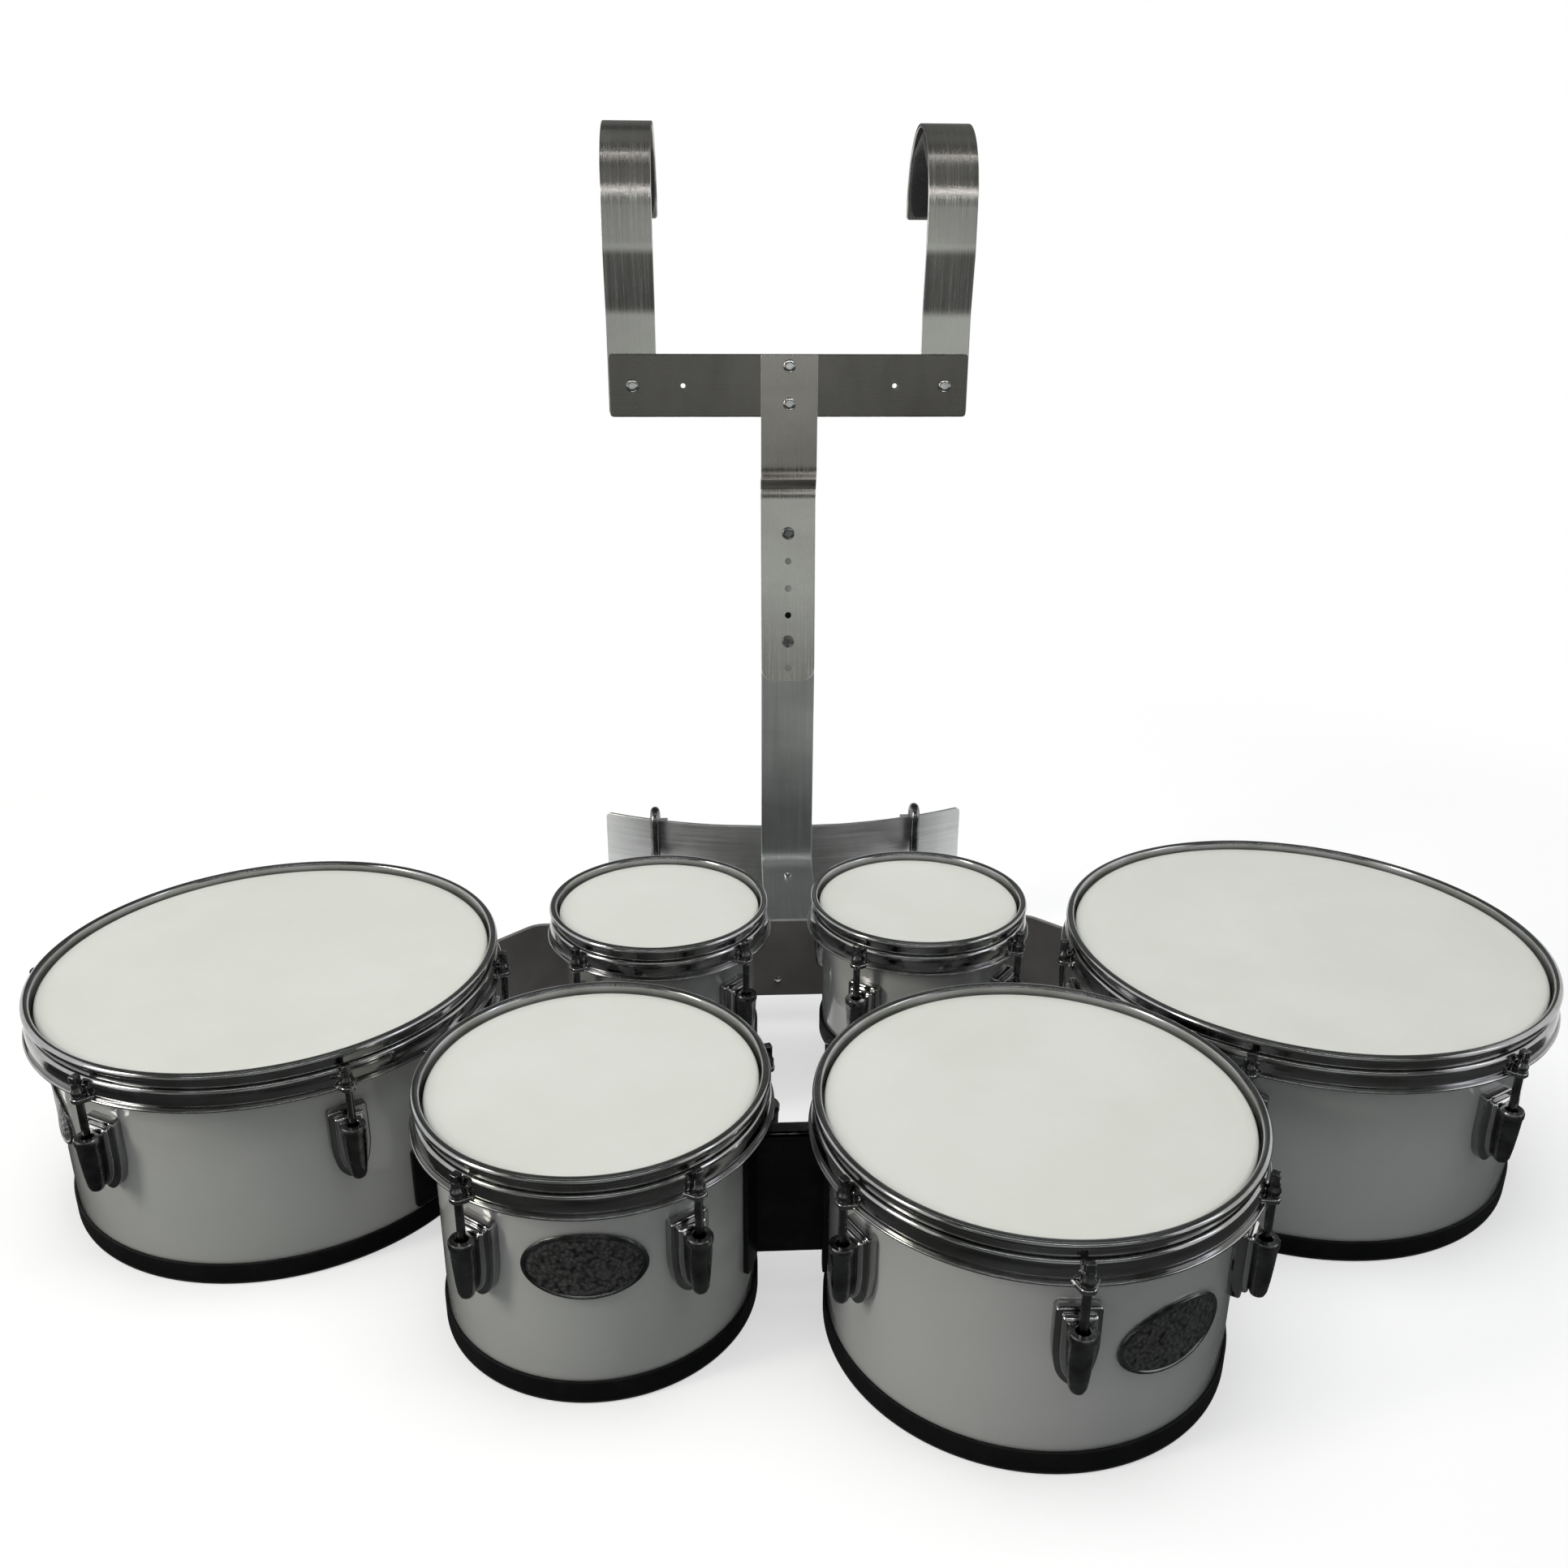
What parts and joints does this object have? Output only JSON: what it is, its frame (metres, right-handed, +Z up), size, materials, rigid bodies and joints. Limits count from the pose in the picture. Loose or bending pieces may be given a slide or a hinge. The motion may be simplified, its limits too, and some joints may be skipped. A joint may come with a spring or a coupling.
{
  "type": "marching tenor drums",
  "caption": "Set of single-headed marching tenor drums on a steel frame, with chrome hoops and lugs and a brushed shoulder carrier with belly plate.",
  "frame": {"origin": "middle of the object's box on the floor, where the four big drums stand", "axes": "+X to the audience's right, +Y towards the player, +Z up"},
  "size_m": [1.126, 0.7398, 0.7445],
  "materials": {
    "white_lacquer": "white gloss lacquer over a plywood shell, chrome-plated lugs",
    "chrome": "polished chrome plate on steel",
    "drumhead": "white coated film, slightly matt",
    "edge_rubber": "black rubber, satin",
    "frame_paint": "dark grey powder coat on steel",
    "brushed_aluminium": "brushed aluminium strip, light scratches",
    "foam": "black closed-cell foam",
    "badge_metal": "dark pewter-coloured plate, blank"
  },
  "bodies": {
    "drum_set": {"left_shell": "white_lacquer", "left_edge_trim": "edge_rubber", "left_head": "drumhead", "left_badge": "badge_metal", "right_shell": "white_lacquer", "right_edge_trim": "edge_rubber", "right_head": "drumhead", "front_left_shell": "white_lacquer", "front_left_edge_trim": "edge_rubber", "front_left_head": "drumhead", "front_left_badge": "badge_metal", "front_right_shell": "white_lacquer", "front_right_edge_trim": "edge_rubber", "front_right_head": "drumhead", "front_right_badge": "badge_metal", "small_left_shell": "white_lacquer", "small_left_edge_trim": "edge_rubber", "small_left_head": "drumhead", "small_right_shell": "white_lacquer", "small_right_edge_trim": "edge_rubber", "small_right_head": "drumhead", "rear_frame": "frame_paint", "frame_rivet": "chrome", "front_bridge": "frame_paint", "left_bracket": "frame_paint", "right_bracket": "frame_paint", "small_left_mount": "frame_paint", "small_right_mount": "frame_paint", "left_rod_clamp": "frame_paint", "right_rod_clamp": "frame_paint"},
    "left_hoop": {"left_hoop": "chrome"},
    "right_hoop": {"right_hoop": "chrome"},
    "front_left_hoop": {"front_left_hoop": "chrome"},
    "front_right_hoop": {"front_right_hoop": "chrome"},
    "small_left_hoop": {"small_left_hoop": "chrome"},
    "small_right_hoop": {"small_right_hoop": "chrome"},
    "left_wing_screw": {"left_wing_screw": "chrome"},
    "right_wing_screw": {"right_wing_screw": "chrome"},
    "hook_rods": {"left_hook_rod": "chrome", "right_hook_rod": "chrome"},
    "carrier": {"lower_post": "brushed_aluminium", "tongue_screw": "chrome", "belly_plate": "brushed_aluminium", "belly_pad": "foam", "belly_screw": "chrome", "left_rod_receiver": "frame_paint", "right_rod_receiver": "frame_paint"},
    "chest_frame": {"upper_post": "brushed_aluminium", "clamp_plate": "frame_paint", "cross_plate": "brushed_aluminium", "post_bolt_1": "chrome", "post_bolt_2": "chrome", "cross_screw_1": "chrome", "cross_screw_2": "chrome", "left_shoulder_bolt": "chrome", "right_shoulder_bolt": "chrome"},
    "left_shoulder": {"left_shoulder_hook": "brushed_aluminium", "left_shoulder_lining": "foam"},
    "right_shoulder": {"right_shoulder_hook": "brushed_aluminium", "right_shoulder_lining": "foam"}
  },
  "joints": [
    {"name": "left_hoop_lift", "type": "slide", "parent": "drum_set", "child": "left_hoop", "axis": [0, 0, 1], "range_m": [0, 0.006]},
    {"name": "right_hoop_lift", "type": "slide", "parent": "drum_set", "child": "right_hoop", "axis": [0, 0, 1], "range_m": [0, 0.006]},
    {"name": "front_left_hoop_lift", "type": "slide", "parent": "drum_set", "child": "front_left_hoop", "axis": [0, 0, 1], "range_m": [0, 0.006]},
    {"name": "front_right_hoop_lift", "type": "slide", "parent": "drum_set", "child": "front_right_hoop", "axis": [0, 0, 1], "range_m": [0, 0.006]},
    {"name": "small_left_hoop_lift", "type": "slide", "parent": "drum_set", "child": "small_left_hoop", "axis": [0, 0, 1], "range_m": [0, 0.006]},
    {"name": "small_right_hoop_lift", "type": "slide", "parent": "drum_set", "child": "small_right_hoop", "axis": [0, 0, 1], "range_m": [0, 0.006]},
    {"name": "left_wing_screw_turn", "type": "hinge", "parent": "drum_set", "child": "left_wing_screw", "pos_m": [-0.12201, 0.17306, 0.055], "axis": [0, 1, 0], "continuous": true},
    {"name": "right_wing_screw_turn", "type": "hinge", "parent": "drum_set", "child": "right_wing_screw", "pos_m": [0.12399, 0.17306, 0.055], "axis": [0, 1, 0], "continuous": true},
    {"name": "hook_rod_height", "type": "slide", "parent": "drum_set", "child": "hook_rods", "axis": [0, 0, 1], "range_m": [-0.015, 0.015]},
    {"name": "carrier_unhook", "type": "slide", "parent": "hook_rods", "child": "carrier", "axis": [0, 0, -1], "range_m": [0, 0.035]},
    {"name": "chest_height", "type": "slide", "parent": "carrier", "child": "chest_frame", "axis": [0, 0.0872, 0.9962], "range_m": [-0.0117, 0.0351]},
    {"name": "left_shoulder_tilt", "type": "hinge", "parent": "chest_frame", "child": "left_shoulder", "pos_m": [-0.12801, 0.25037, 0.543], "axis": [0, 1, 0], "range_deg": [-8, 8]},
    {"name": "right_shoulder_tilt", "type": "hinge", "parent": "chest_frame", "child": "right_shoulder", "pos_m": [0.12999, 0.25037, 0.543], "axis": [0, 1, 0], "range_deg": [-8, 8]}
  ]
}
